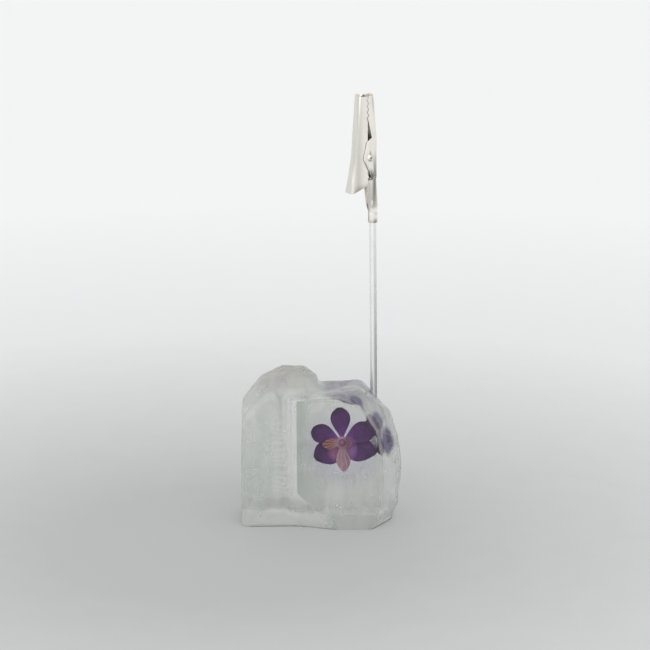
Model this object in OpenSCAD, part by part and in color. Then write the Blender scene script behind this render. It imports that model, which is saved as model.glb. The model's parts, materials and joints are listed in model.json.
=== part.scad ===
// Memo clip: a clear cast lump with a dried orchid inside, a steel rod and a sprung two-jaw clip.
// Millimetres, +Z up. The origin is in the middle of the flat underside, and the front faces -Y.

/* [Resin lump] */
// Overall width of the lump
base_w = 47.0; // [45:0.1:50]
// Overall depth of the lump, from the front window to the back
base_d = 22.0; // [20:0.5:26]
// Height of the hump on the left
hump_h = 44.6; // [42.6:0.5:49.6]
// Width of the hump, from the left side to its right flank
hump_w = 23.0; // [21:0.1:25]
// How far the left part stands back behind the front window
hump_setback = 3.5; // [3:0.5:7]
// How far the plateau's front edge lies behind the front window
plateau_setback = 5.0; // [3:0.5:7]
// Width of the slanted cut at the hump's upper left
hump_cut_w = 9.9; // [7:0.1:11]
// Height of the slanted cut at the hump's upper left
hump_cut_h = 8.0; // [6:0.1:10]
// Width of the smaller cut at the hump's upper right
hump_right_w = 1.9; // [1:0.1:3]
// Height of the smaller cut at the hump's upper right
hump_right_h = 1.5; // [0.5:0.1:3]
// How much lower the hump's top is at the front
hump_slope = 3.0; // [1:0.1:5]
// Height of the plateau on the right
plateau_h = 39.7; // [38.5:0.1:41]
// Right end of the plateau
plateau_end = 13.6; // [12:0.1:15]
// Height of the slanted shoulder at the rod
shoulder_h = 32.5; // [31:0.5:33.5]
// Height at which the right side stands out most
belly_z = 15.0; // [12:0.5:18]
// How far the right side draws in toward the table
belly_draw = 4.2; // [2:0.1:6]
// Rounding of the lump's corners
lump_r = 3.0; // [2:0.1:4]
// Rounding of the front window's rim
window_r = 0.9; // [0.7:0.1:1.5]
// Left edge of the front window
window_left = -8.3; // [-12:0.1:-6]
// Right edge of the front window
window_right = 17.7; // [17.2:0.1:19]
// Top edge of the front window
window_top = 39.3; // [38:0.1:39.5]
// Height at which the window's lower left corner is cut off
window_cut_h = 13.0; // [8:0.5:16]
// Width of the window's rounded upper right corner
window_corner_w = 12.0; // [9:0.1:13]
// Height of the window's rounded upper right corner
window_corner_h = 18.5; // [15:0.1:20]
// Left end of the window's bottom edge
window_foot_x = 4.5; // [0:0.5:8]

/* [Rod and glue] */
// Diameter of the wire rod
rod_d = 2.0; // [1.6:0.1:2.2]
// Rod axis, measured from the lump's right side
rod_inset = 8.2; // [7.2:0.05:9.2]
// Rod position behind the middle
rod_y = 4.5; // [3:0.1:6]
// Length of rod inside the lump
rod_sunk = 13.0; // [8:0.5:18]
// Height of the rod's foot, where it leaves the lump
rod_foot_z = 34.5; // [33:0.1:35.5]
// Thickness of the glue between the rod and its hole
glue_t = 0.3; // [0.2:0.05:0.5]
// How far the glue ends below the rod's foot
glue_short = 0.6; // [0.5:0.1:2]

/* [Clip] */
// Height of the pivot above the table
pivot_z = 106.2; // [95:0.1:130]
// Turn of the clip about the rod
clip_turn = 25; // [-180:5:180]
// Sheet thickness of both stampings
sheet_t = 0.3; // [0.25:0.05:0.35]
// Pivot to jaw tip
jaw_l = 18.2; // [17:0.1:22]
// Outer width of the clip body at the ears
body_w = 5.0; // [4.8:0.1:5.6]
// Outer width of the fixed jaw at its tip
body_tip_w = 4.1; // [3.8:0.1:4.6]
// Outside of the body's floor, measured from the pivot axis
floor_u = 2.3; // [2.2:0.05:2.5]
// Gap between the lever's sides and the body's ears, each side
side_play = 0.1; // [0.08:0.01:0.15]
// Line on which the two jaws meet, measured from the pivot axis
split_u = -0.55; // [-0.7:0.05:-0.45]
// Bend radius outside on the body
body_bend_r = 0.9; // [0.7:0.05:1.1]
// Bend radius outside on the lever
lever_bend_r = 1.1; // [0.8:0.05:1.3]
// Radius of the body's ears
ear_r = 2.05; // [1.95:0.05:2.3]
// Height of the ear's upper corner above the pivot
ear_top = 4.6; // [4:0.1:5.4]
// Rounding of the jaw tips, seen from the back
nose_r = 3.0; // [2.6:0.1:5]
// Back of the lever at the jaw tip
lever_tip_back = 2.9; // [2.7:0.05:3.2]
// Back of the lever at the pivot
lever_mid_back = 4.3; // [4.1:0.05:4.6]
// How much the lever's back rises from the pivot to the thumb pad
lever_rise = 1.1; // [0.8:0.05:1.3]
// Back of the thumb pad at its end
pad_back = 6.0; // [5.8:0.05:6.3]
// Pivot to the end of the thumb pad
pad_l = 10.0; // [9.6:0.1:10.6]
// Length of the flared thumb pad
pad_flare_l = 3.6; // [3:0.1:4.2]
// Width of the thumb pad at its end
pad_w = 4.7; // [4.3:0.1:5.4]
// Number of teeth on each jaw
tooth_n = 4; // [2:1:5]
// Tooth spacing
tooth_pitch = 1.7; // [1.4:0.05:1.8]
// Tooth depth
tooth_depth = 0.6; // [0.4:0.05:0.7]
// Gap between the two rows of teeth when shut
tooth_gap = 0.14; // [0.12:0.01:0.2]
// Gap between the lever's ears and the body's floor
ear_gap = 0.45; // [0.4:0.05:0.6]

/* [Tail of the clip body] */
// Pivot to the top of the tail, below the relief notch
tail_top = 6.6; // [6.4:0.1:7.2]
// Height of the relief notch between the ears and the tail
notch_h = 1.3; // [1:0.1:1.5]
// Pivot to the end of the tapered tail
tail_end = 14.4; // [13.8:0.1:15]
// Outer width of the tail at its top
tail_w = 3.4; // [3:0.1:3.4]
// Outside of the tail's floor at its top, measured from the rod axis
tail_floor = 0.75; // [0.7:0.05:1]
// Outer radius of the tail at its end
tail_end_r = 1.4; // [1.4:0.02:1.5]
// Rod axis, measured from the pivot axis toward the floor
rod_u = 1.85; // [1.7:0.05:2]
// Length of the neck, along which the tail closes to the collar
neck_l = 2.1; // [1.5:0.1:3]
// Length of the crimped collar
collar_l = 2.7; // [2:0.1:3.4]
// Width of the seam in the collar
seam_w = 0.3; // [0.2:0.05:0.5]
// Rod end above the neck, inside the tail
rod_in_tail = 0.6; // [0.2:0.1:0.7]
// Gap between the rod and the collar, each side
crimp_fit = 0.01; // [0.01:0.005:0.02]
// Depth of the press mark on each side of the tail
dimple_depth = 0.12; // [0.05:0.01:0.15]
// Radius of the press tool's ball
dimple_r = 1.2; // [1:0.1:2]

/* [Rivet and spring] */
// Diameter of the rivet's shank
rivet_d = 1.1; // [0.9:0.05:1.15]
// Diameter of the rivet's heads
rivet_head_d = 2.0; // [1.7:0.1:2.4]
// Height of the rivet's heads
rivet_head_h = 0.45; // [0.3:0.05:0.6]
// Wall of the rivet's rolled tubular end
rivet_wall = 0.25; // [0.2:0.01:0.3]
// Gap between the shank and the lever's holes, each side
rivet_play = 0.05; // [0.03:0.01:0.08]
// Gap between the shank and the body's holes, each side
rivet_fit = 0.01; // [0.01:0.005:0.02]
// Diameter of the spring wire
wire_d = 0.48; // [0.4:0.02:0.48]
// Radius of the spring's coil, to the middle of the wire
coil_r = 0.95; // [0.9:0.01:1.0]
// Spacing of the coils
coil_pitch = 0.95; // [0.92:0.01:1.0]
// Length of the spring's legs below the pivot
leg_l = 5.2; // [4.5:0.1:5.4]
// Gap between the spring's legs and the sheet that they press on
leg_gap = 0.05; // [0.03:0.01:0.1]

/* [Orchid] */
// Flower centre, to the right of the middle
flower_x = 6.1; // [4:0.1:7]
// Flower layer, before or behind the middle
flower_y = -2.6; // [-3.2:0.1:-1.8]
// Flower centre height
flower_z = 24.7; // [23:0.1:25.2]
// Thickness of every organ
organ_t = 0.34; // [0.3:0.02:0.4]
// Spacing of the layers of organs
layer_gap = 0.8; // [0.7:0.05:1.0]
// How far the flower's rim bends to the front
dish = 0.9; // [0.2:0.1:1.4]
// Radius of the column, which all organs join
column_r = 0.95; // [0.8:0.05:1.1]
// Dorsal sepal length from the flower centre
dorsal_l = 10.3; // [8:0.1:10.6]
// Dorsal sepal width
dorsal_w = 5.6; // [4:0.1:6]
// Petal length from the flower centre
petal_l = 9.5; // [8:0.1:10.2]
// Left petal width
petal_w = 5.7; // [5:0.1:6.4]
// Right petal width
right_petal_w = 6.3; // [5.5:0.1:7]
// Left lateral sepal length from the flower centre
lateral_l = 9.3; // [8:0.1:10.4]
// Right lateral sepal length from the flower centre
right_lateral_l = 10.2; // [8:0.1:10.8]
// Lateral sepal width
lateral_w = 8.6; // [6:0.1:8.8]
// Lip length from the flower centre
lip_l = 8.6; // [7.5:0.1:9.2]
// Lip width
lip_w = 4.3; // [3.6:0.1:5]
// Length of the lip's left side lobe from the flower centre
lobe_l = 5.7; // [4.5:0.1:6.2]
// Length of the lip's right side lobe from the flower centre
right_lobe_l = 3.0; // [2.8:0.1:4]
// Width of the lip's side lobes
lobe_w = 3.2; // [2.4:0.1:3.6]

/* [Hidden] */
$fn = 48;

// Directions of the organs round the flower centre, from the right and upward
dorsal_turn = 94;
left_petal_turn = 156;
right_petal_turn = 27;
left_lateral_turn = 212;
right_lateral_turn = -19;
lip_turn = -87;
left_lobe_turn = 187;
right_lobe_turn = -12;
// Forms of the organs: swell moves the widest place outward, fullness rounds it,
// tip sharpens the end and curl bends the length
dorsal_form = [1.6, 0.75, 0, 0];
left_petal_form = [1.6, 0.65, 0, 0];
right_petal_form = [1.7, 0.55, 0, 0];
left_lateral_form = [1.45, 0.6, 0.45, -14];
right_lateral_form = [1.35, 0.6, 0.55, 14];
lip_form = [1.3, 0.7, 0.25, 0];
lobe_form = [1.0, 0.7, 0, 0];
// Share of an organ's width at its base, and the part of its half wave that an organ takes up
leaf_base = 0.1;
leaf_from = 0.03;
leaf_to = 0.97;
organ_rows = 10;
organ_cols = 4;
// Gap between the organs and the column, and the width of the lip's ring
organ_gap = 0.05;
claw_w = 0.7;

// Sides of the lump
left_x = -base_w / 2;
right_x = base_w / 2;
front_y = -base_d / 2;
back_y = base_d / 2;
hump_front_y = front_y + hump_setback;
plateau_front_y = front_y + plateau_setback;
// Small lean of the lump's facets
lean = 1.0;
// Upper outline of the hump through its corner balls, as [to the right, down] from its upper left
hump_corners = [[lean / 2, hump_cut_h], [hump_cut_w / 2, 0.3 * hump_cut_h], [hump_cut_w, 0],
    [hump_w - 2 * lump_r - hump_right_w, 0], [hump_w - 2 * lump_r, hump_right_h]];
// Sides of one facetted ball, and the factor that makes its flats reach the full radius
ball_n = 16;
ball_fix = 1 / cos(180 / ball_n);

// Rod and its hole
rod_x = right_x - rod_inset;
rod_r = rod_d / 2;
hole_r = rod_r + glue_t;
rod_bottom = rod_foot_z - rod_sunk;
rod_top = pivot_z - tail_end + rod_in_tail;

// Clip
body_half = body_w / 2;
lever_half = body_half - sheet_t - side_play;
collar_r = rod_r + crimp_fit + sheet_t;
neck_bottom = -tail_end - neck_l;
collar_bottom = neck_bottom - collar_l;
notch_end = -tail_top + notch_h;
teeth_end = jaw_l - tooth_n * tooth_pitch;
wedge_flat = 0.6;
wedge_top = teeth_end - wedge_flat;
lever_ear_r = floor_u - sheet_t - ear_gap;
lever_foot = pad_l - pad_flare_l;
back_at_foot = lever_mid_back + lever_rise;
// Corners of the body's side view: open wedge below the teeth, ear, notch and tail edge
wedge_u = 0.5;
wedge_rise = 1.2;
ear_corner_u = 1.0;
ear_flat = 0.4;
ear_low_u = 0.55;
ear_low = 3.4;
notch_u = 1.0;
tail_top_u = -0.42;
tail_edge_u = 0.05;
// Taper of the body's floor toward the jaw tip, and the changes of its bend along the tail
tip_lift = 0.8;
ear_end = ear_top + 1;
tail_bend = body_bend_r + 0.2;
tail_end_bend = tail_end_r - 0.1;
// Place of the press mark below the middle of the tail, and from the pivot axis
dimple_drop = 2.2;
dimple_u = 0.8;
// Share by which the tail's free edges have turned in at its end, and the waist above the collar
tail_close = 0.55;
waist = 0.1;
waist_l = 0.3;
// Bend of the closed collar, lap of the tail into the notched floor, and room above the rod's end
collar_bend = collar_r - 0.05;
tail_lap = 0.05;
rod_room = 0.3;
// Corners of the lever's side view: foot of its walls, their ramp, and the walls along the pad
lever_wall = 8;
ramp_u = 3.1;
ramp_h = 1;
pad_wall = 0.6;
// Rim of the rivet's heads past its shank
rivet_rim = 0.1;
bend_steps = 4;
// Reach of cutting solids, and how far they start outside what they cut
far = 8;
past = 1;

// Spring
coil_turns = 2;
leg_floor = [floor_u - sheet_t - wire_d / 2 - leg_gap, -leg_l];
back_at_leg = lever_mid_back + lever_rise * leg_l / lever_foot;
leg_back = [-(back_at_leg - sheet_t - wire_d / 2 - leg_gap), -leg_l];
floor_turn = atan2(leg_floor[1], leg_floor[0]) + acos(coil_r / norm(leg_floor));
back_turn = atan2(leg_back[1], leg_back[0]) + 360 - acos(coil_r / norm(leg_back));
coil_span = back_turn - floor_turn + 360 * coil_turns;
ring_n = 6;
rings_per_coil = 8;

// Draws what is in the clip's own frame: pivot axis along Y, floor toward +X, jaws up
module at_pivot() {
    translate([rod_x, rod_y, pivot_z])
        rotate([0, 0, clip_turn])
            translate([-rod_u, 0, 0])
                children();
}

// A side view in the clip's frame, drawn as [toward the floor, up], made solid across the whole width
module side_cut() {
    rotate([90, 0, 0])
        linear_extrude(height = 4 * far, center = true)
            children();
}

// One facetted ball for a rounded corner
module ball(p, r) {
    translate(p)
        sphere(r = r * ball_fix, $fn = ball_n);
}

// Resin lump

module hump() {
    r = lump_r;
    left = left_x + r;
    right = left_x + hump_w - r;
    front = hump_front_y + r;
    back = back_y - r;
    hull() {
        ball([left, front, 0], r);
        ball([left, back - lean, 0], r);
        ball([right, front, 0], r);
        ball([right, back - lean / 3, 0], r);
        for (c = hump_corners) {
            ball([left + c[0], front + lean, hump_h - r - c[1] - hump_slope], r);
            ball([left + c[0], back - 2 * lean, hump_h - r - c[1]], r);
        }
    }
}

// Corners of the plateau, the slanted shoulder at the rod and the right side
module shoulder_corners() {
    r = lump_r;
    left = window_left - lean;
    right = right_x - r;
    front = plateau_front_y + r;
    back = back_y - r;
    for (y = [front, back]) {
        ball([left, y, 0], r);
        ball([right - belly_draw, y / 2, 0], r);
        ball([left, y, plateau_h - r - lean], r);
        ball([plateau_end - r, y, plateau_h - r], r);
    }
    ball([right - belly_draw - lean, back, 0], r);
    ball([right - 3 * lean, rod_y, shoulder_h - r], r);
    ball([right - lean, rod_y / 2, (shoulder_h + belly_z) / 2], r);
    ball([right - 2 * lean, front, belly_z], r);
    ball([right, lean, belly_z], r);
    ball([right - lean, 0, belly_z / 3], r);
}

// Corners of the front window, whose upper right is a quarter of an ellipse
module window_corners() {
    r = window_r;
    front = front_y + r;
    left = window_left + r;
    right = window_right - r;
    top = window_top - r;
    ball([left, front, top - lean / 2], r);
    for (a = [0:30:90])
        ball([right - window_corner_w * (1 - cos(a)), front, top - window_corner_h * (1 - sin(a))], r);
    ball([right - lean / 2, front, window_cut_h / 2], r);
    ball([right - 3 * lean, front, 0], r);
    ball([window_foot_x, front, 0], r);
    ball([left, front, window_cut_h], r);
}

module lump() {
    intersection() {
        union() {
            hump();
            hull() {
                shoulder_corners();
                window_corners();
            }
        }
        translate([-base_w, -base_d, 0])
            cube([2 * base_w, 2 * base_d, 2 * hump_h]);
    }
}

module resin_base() {
    color([0.80, 0.84, 0.82, 0.4])
        difference() {
            lump();
            translate([rod_x, rod_y, rod_bottom - glue_t])
                cylinder(r = hole_r, h = hump_h);
            flower();
        }
}

// Rod and glue

module rod() {
    color([0.72, 0.72, 0.71])
        translate([rod_x, rod_y, rod_bottom])
            cylinder(r = rod_r, h = rod_top - rod_bottom);
}

module glue_sleeve() {
    color([0.86, 0.86, 0.78, 0.5])
        translate([rod_x, rod_y, rod_bottom])
            difference() {
                translate([0, 0, -glue_t])
                    cylinder(r = hole_r, h = rod_sunk - glue_short + glue_t);
                cylinder(r = rod_r, h = 2 * rod_sunk);
            }
}

// Clip: each stamping is a bent trough cut to its side view

// Quarter bend of a trough's cross-section, about [u, v]
function bend(u, v, r, from, to) =
    [for (i = [0:bend_steps])
        let (a = from + (to - from) * i / bend_steps) [u + r * cos(a), v + r * sin(a)]];

// Cross-section of a trough, with its floor at u and its open side far off
function trough_ring(half, u, r, t) = concat(
    [[-far, -half]],
    bend(u - r, -half + r, r, -90, 0),
    bend(u - r, half - r, r, 0, 90),
    [[-far, half], [-far, half - t]],
    bend(u - r, half - r, r - t, 90, 0),
    bend(u - r, -half + r, r - t, 0, -90),
    [[-far, -half + t]]);

// Skin through cross-sections from the lowest up, each with its outer points before its inner ones
module skin(rings) {
    n = len(rings[0]);
    last = (len(rings) - 1) * n;
    half = n / 2;
    points = [for (ring = rings) each ring];
    sides = [for (k = [0:len(rings) - 2], i = [0:n - 1])
        let (a = k * n + i, b = k * n + (i + 1) % n) each [[a, a + n, b + n], [a, b + n, b]]];
    caps = [for (i = [0:half - 2])
        let (a = i, b = i + 1, c = n - 2 - i, d = n - 1 - i)
            each [[a, b, c], [a, c, d], [last + a, last + c, last + b], [last + a, last + d, last + c]]];
    polyhedron(points = points, faces = concat(sides, caps), convexity = 6);
}

// Trough through stations [z, half width, floor u, bend radius], from the lowest up
module trough(stations, t) {
    skin([for (s = stations) [for (p = trough_ring(s[1], s[2], s[3], t)) [p[0], p[1], s[0]]]]);
}

// Half of the tail's cross-section: the floor's bend, then a wall that turns in toward its edge
function tail_line(half, u, r, edge, close) = concat(
    bend(u - r, half - r, r, 0, 90),
    [for (i = [1:bend_steps]) let (a = 90 * i / bend_steps)
        [u - r + (edge - u + r) * sin(a), half - close * (half - seam_w / 2) * (1 - cos(a))]]);
function tail_ring(z, half, u, r, edge, close) =
    let (outer = tail_line(half, u, r, edge, close), last = len(outer) - 1,
        inner = tail_line(half - sheet_t, u - sheet_t, r - sheet_t, edge + close * sheet_t, close))
        concat(
            [for (i = [last:-1:0]) [outer[i][0], -outer[i][1], z]],
            [for (p = outer) [p[0], p[1], z]],
            [for (i = [last:-1:0]) [inner[i][0], inner[i][1], z]],
            [for (p = inner) [p[0], -p[1], z]]);

// Zigzag of one jaw's edge, from the tip down
function teeth(offset) = [for (i = [0:2 * tooth_n])
    [split_u + offset + (i % 2 == 0 ? -0.5 : 0.5) * tooth_depth, jaw_l - i * tooth_pitch / 2]];

// A round along the pivot axis
module across(r) {
    rotate([90, 0, 0])
        cylinder(r = r, h = 4 * far, center = true);
}

// What the rounded jaw tip leaves out
module nose_cut() {
    difference() {
        translate([-far, -far, jaw_l - nose_r])
            cube([2 * far, 2 * far, 2 * nose_r]);
        translate([0, 0, jaw_l - nose_r])
            rotate([0, 90, 0])
                cylinder(r = nose_r, h = 4 * far, center = true);
    }
}

module body_side() {
    edge = tooth_gap / 2;
    polygon(concat(
        [[far, -tail_top], [far, jaw_l]],
        teeth(edge),
        [[split_u + edge, wedge_top], [wedge_u, ear_top + wedge_rise], [-ear_corner_u, ear_top],
            [-ear_r, 0], [-ear_r, -ear_flat], [-ear_low_u, -ear_low], [notch_u, notch_end],
            [floor_u - body_bend_r, notch_end], [floor_u - body_bend_r, -tail_top]]));
}

module tail_press_mark(side) {
    at = -(tail_top + tail_end) / 2 - dimple_drop;
    half = tail_w / 2 + (tail_end_r - tail_w / 2) * (-at - tail_top) / (tail_end - tail_top);
    translate([dimple_u, side * (half + dimple_r - dimple_depth), at])
        sphere(r = dimple_r);
}

module clip_body() {
    color([0.80, 0.78, 0.72])
        at_pivot() {
            jaw_and_ears();
            tail();
        }
}

// Fixed jaw, its ears and the notched floor below them
module jaw_and_ears() {
    difference() {
        intersection() {
            trough([
                [-tail_top, tail_w / 2, rod_u + tail_floor, tail_bend],
                [notch_end, body_half, floor_u, body_bend_r],
                [ear_end, body_half, floor_u, body_bend_r],
                [jaw_l, body_tip_w / 2, floor_u - tip_lift, body_bend_r]], sheet_t);
            union() {
                side_cut()
                    body_side();
                across(ear_r);
            }
        }
        across(rivet_d / 2 + rivet_fit);
        nose_cut();
    }
}

// Tail that closes along the neck to the crimped collar round the rod
module tail() {
    difference() {
        skin([
            tail_ring(collar_bottom, collar_r, rod_u + collar_r, collar_bend, rod_u - collar_r, 1),
            tail_ring(neck_bottom, collar_r, rod_u + collar_r, collar_bend, rod_u - collar_r, 1),
            tail_ring(neck_bottom + waist_l, collar_r - waist, rod_u + collar_r - waist,
                collar_bend - waist, rod_u - collar_r + waist, 1),
            tail_ring(-tail_end, tail_end_r, rod_u + tail_end_r, tail_end_bend, tail_edge_u, tail_close),
            tail_ring(-tail_top, tail_w / 2, rod_u + tail_floor, tail_bend, tail_top_u, 0),
            tail_ring(-tail_top + tail_lap, tail_w / 2, rod_u + tail_floor, tail_bend, tail_top_u, 0)]);
        translate([rod_u, 0, collar_bottom - past])
            cylinder(r = rod_r + crimp_fit, h = rod_top - pivot_z - collar_bottom + past + rod_room);
        tail_press_mark(-1);
        tail_press_mark(1);
    }
}

module lever_side() {
    edge = -tooth_gap / 2;
    polygon(concat(
        [[-far, jaw_l]],
        teeth(edge),
        [[split_u + edge, wedge_top], [split_u + edge, -lever_wall], [-ramp_u, -lever_wall - ramp_h],
            [-pad_back + pad_wall, -pad_l], [-far, -pad_l]]));
}

module lever_jaw() {
    color([0.82, 0.80, 0.74])
        at_pivot()
            difference() {
                intersection() {
                    mirror([1, 0, 0])
                        trough([
                            [-pad_l, pad_w / 2, pad_back, lever_bend_r],
                            [-lever_foot, lever_half, back_at_foot, lever_bend_r],
                            [0, lever_half, lever_mid_back, lever_bend_r],
                            [jaw_l, lever_half, lever_tip_back, lever_bend_r]], sheet_t);
                    union() {
                        side_cut()
                            lever_side();
                        across(lever_ear_r);
                    }
                }
                across(rivet_d / 2 + rivet_play);
                nose_cut();
            }
}

// Rivet: domed head at the back, rolled tubular end at the front
module pivot_rivet() {
    head_r = rivet_head_d / 2;
    shank_r = rivet_d / 2;
    color([0.74, 0.72, 0.67])
        at_pivot()
            rotate([90, 0, 0])
                difference() {
                    union() {
                        cylinder(r = shank_r, h = 2 * body_half + rivet_head_h, center = true);
                        translate([0, 0, body_half])
                            cylinder(r1 = head_r, r2 = shank_r + rivet_rim, h = rivet_head_h);
                        translate([0, 0, -body_half - rivet_head_h])
                            cylinder(r1 = shank_r + rivet_rim, r2 = head_r, h = rivet_head_h);
                    }
                    translate([0, 0, body_half - rivet_head_h])
                        cylinder(r = shank_r - rivet_wall, h = far);
                }
}

// Torsion spring: leg on the body's floor, coil round the rivet, leg on the lever's back

function coil_point(k) =
    let (a = floor_turn + coil_span * k, v = coil_pitch * coil_span / 360 * (0.5 - k))
        [coil_r * cos(a), v, coil_r * sin(a)];
coil_steps = ceil(coil_span / 360 * rings_per_coil);
coil_half = coil_pitch * coil_span / 720;
spring_path = concat(
    [[leg_floor[0], coil_half, leg_floor[1]]],
    [for (i = [0:coil_steps]) coil_point(i / coil_steps)],
    [[leg_back[0], -coil_half, leg_back[1]]]);

function unit(v) = v / norm(v);
function heading(path, i) = unit(path[min(i + 1, len(path) - 1)] - path[max(i - 1, 0)]);
// A ring round the path, turned so that neighbours line up: its first spoke lies across the pivot axis
function wire_ring(path, i) =
    let (h = heading(path, i), s = unit(cross([0, 1, 0], h)), u = cross(h, s))
        [for (j = [0:ring_n - 1])
            let (a = 360 * j / ring_n) path[i] + wire_d / 2 * (cos(a) * s + sin(a) * u)];

module wire(path) {
    m = len(path);
    points = [for (i = [0:m - 1]) each wire_ring(path, i)];
    sides = [for (i = [0:m - 2], j = [0:ring_n - 1])
        let (a = i * ring_n + j, b = i * ring_n + (j + 1) % ring_n)
            each [[a, b + ring_n, b], [a, a + ring_n, b + ring_n]]];
    caps = [[for (j = [0:ring_n - 1]) j], [for (j = [ring_n - 1:-1:0]) (m - 1) * ring_n + j]];
    polyhedron(points = points, faces = concat(sides, caps), convexity = 6);
}

// Least gap of the spring to itself, between points over half a coil apart
spring_gap = min([for (i = [0:len(spring_path) - 1], j = [0:len(spring_path) - 1])
    if (j - i > rings_per_coil / 2) norm(spring_path[i] - spring_path[j])]) - wire_d;
echo(spring_gap_mm = spring_gap);

module torsion_spring() {
    color([0.55, 0.55, 0.54])
        at_pivot()
            wire(spring_path);
}

// Orchid: each organ is a thin leaf that follows one shallow dish, in its own layer

// Half width of a leaf along its length
function leaf_half(t, w, form) =
    let (wave = sin(180 * pow(leaf_from + (leaf_to - leaf_from) * t, form[0])))
        w / 2 * (leaf_base * (1 - t) + pow(wave, form[1]) * (1 - form[2] * t * t));
// A point of a leaf in the flower's own frame: out along its curved length, across, and deep in the dish
function leaf_point(t, s, len, w, form, turn, layer) =
    let (r = column_r + organ_gap + (len - column_r) * t, a = leaf_half(t, w, form) * s,
        b = turn + form[3] * (t - 1), x = r * cos(b) - a * sin(b), z = r * sin(b) + a * cos(b))
        [x, layer - dish * (x * x + z * z) / (petal_l * petal_l), z];

module leaf(len, w, form, turn, layer) {
    nr = organ_rows + 1;
    nc = organ_cols + 1;
    sheet = nr * nc;
    function at(side, i, j) = side * sheet + i * nc + j;
    points = [for (side = [0, 1], i = [0:organ_rows], j = [0:organ_cols])
        leaf_point(i / organ_rows, 2 * j / organ_cols - 1, len, w, form, turn,
            layer + (1 - side) * organ_t)];
    front = [for (i = [0:organ_rows - 1], j = [0:organ_cols - 1])
        each [[at(0, i, j), at(0, i + 1, j), at(0, i + 1, j + 1)],
            [at(0, i, j), at(0, i + 1, j + 1), at(0, i, j + 1)]]];
    back = [for (i = [0:organ_rows - 1], j = [0:organ_cols - 1])
        each [[at(1, i, j), at(1, i + 1, j + 1), at(1, i + 1, j)],
            [at(1, i, j), at(1, i, j + 1), at(1, i + 1, j + 1)]]];
    edges = [for (i = [0:organ_rows - 1])
        each [[at(0, i, 0), at(1, i, 0), at(1, i + 1, 0)], [at(0, i, 0), at(1, i + 1, 0), at(0, i + 1, 0)],
            [at(0, i, organ_cols), at(1, i + 1, organ_cols), at(1, i, organ_cols)],
            [at(0, i, organ_cols), at(0, i + 1, organ_cols), at(1, i + 1, organ_cols)]]];
    ends = [for (j = [0:organ_cols - 1])
        each [[at(0, 0, j), at(1, 0, j + 1), at(1, 0, j)], [at(0, 0, j), at(0, 0, j + 1), at(1, 0, j + 1)],
            [at(0, organ_rows, j), at(1, organ_rows, j), at(1, organ_rows, j + 1)],
            [at(0, organ_rows, j), at(1, organ_rows, j + 1), at(0, organ_rows, j + 1)]]];
    translate([flower_x, flower_y, flower_z])
        polyhedron(points = points, faces = concat(front, back, edges, ends), convexity = 4);
}

module dorsal_sepal() {
    color([0.33, 0.20, 0.38])
        leaf(dorsal_l, dorsal_w, dorsal_form, dorsal_turn, layer_gap);
}

module left_petal() {
    color([0.36, 0.21, 0.42])
        leaf(petal_l, petal_w, left_petal_form, left_petal_turn, 0);
}

module right_petal() {
    color([0.36, 0.21, 0.42])
        leaf(petal_l, right_petal_w, right_petal_form, right_petal_turn, 0);
}

module left_lateral_sepal() {
    color([0.33, 0.20, 0.38])
        leaf(lateral_l, lateral_w, left_lateral_form, left_lateral_turn, layer_gap);
}

module right_lateral_sepal() {
    color([0.33, 0.20, 0.38])
        leaf(right_lateral_l, lateral_w, right_lateral_form, right_lateral_turn, layer_gap);
}

// Ring round the column that carries the lip and its side lobes
module claw() {
    difference() {
        cylinder(r = column_r + organ_gap + claw_w, h = 2 * organ_t);
        translate([0, 0, -past])
            cylinder(r = column_r + organ_gap, h = far);
    }
}

module lip() {
    color([0.66, 0.44, 0.46])
        union() {
            leaf(lip_l, lip_w, lip_form, lip_turn, -layer_gap);
            leaf(lobe_l, lobe_w, lobe_form, left_lobe_turn, -layer_gap - organ_t / 2);
            leaf(right_lobe_l, lobe_w, lobe_form, right_lobe_turn, -layer_gap - organ_t / 2);
            translate([flower_x, flower_y - layer_gap + organ_t, flower_z])
                rotate([90, 0, 0])
                    claw();
        }
}

module column() {
    color([0.72, 0.55, 0.60])
        translate([flower_x, flower_y + layer_gap + organ_t, flower_z])
            rotate([90, 0, 0]) {
                cylinder(r = column_r, h = 3 * layer_gap + organ_t);
                translate([0, 0, 3 * layer_gap + organ_t])
                    sphere(r = column_r);
            }
}

module flower() {
    dorsal_sepal();
    left_petal();
    right_petal();
    left_lateral_sepal();
    right_lateral_sepal();
    lip();
    column();
}

resin_base();
glue_sleeve();
rod();
clip_body();
lever_jaw();
pivot_rivet();
torsion_spring();
dorsal_sepal();
left_petal();
right_petal();
left_lateral_sepal();
right_lateral_sepal();
lip();
column();
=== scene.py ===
"""Memo clip: an orchid in a lump of clear cast resin, a steel rod and a sprung nickel clip.

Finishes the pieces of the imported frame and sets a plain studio. The file has an add-on's layout
and runs as a script.
"""

import json
import math

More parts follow.
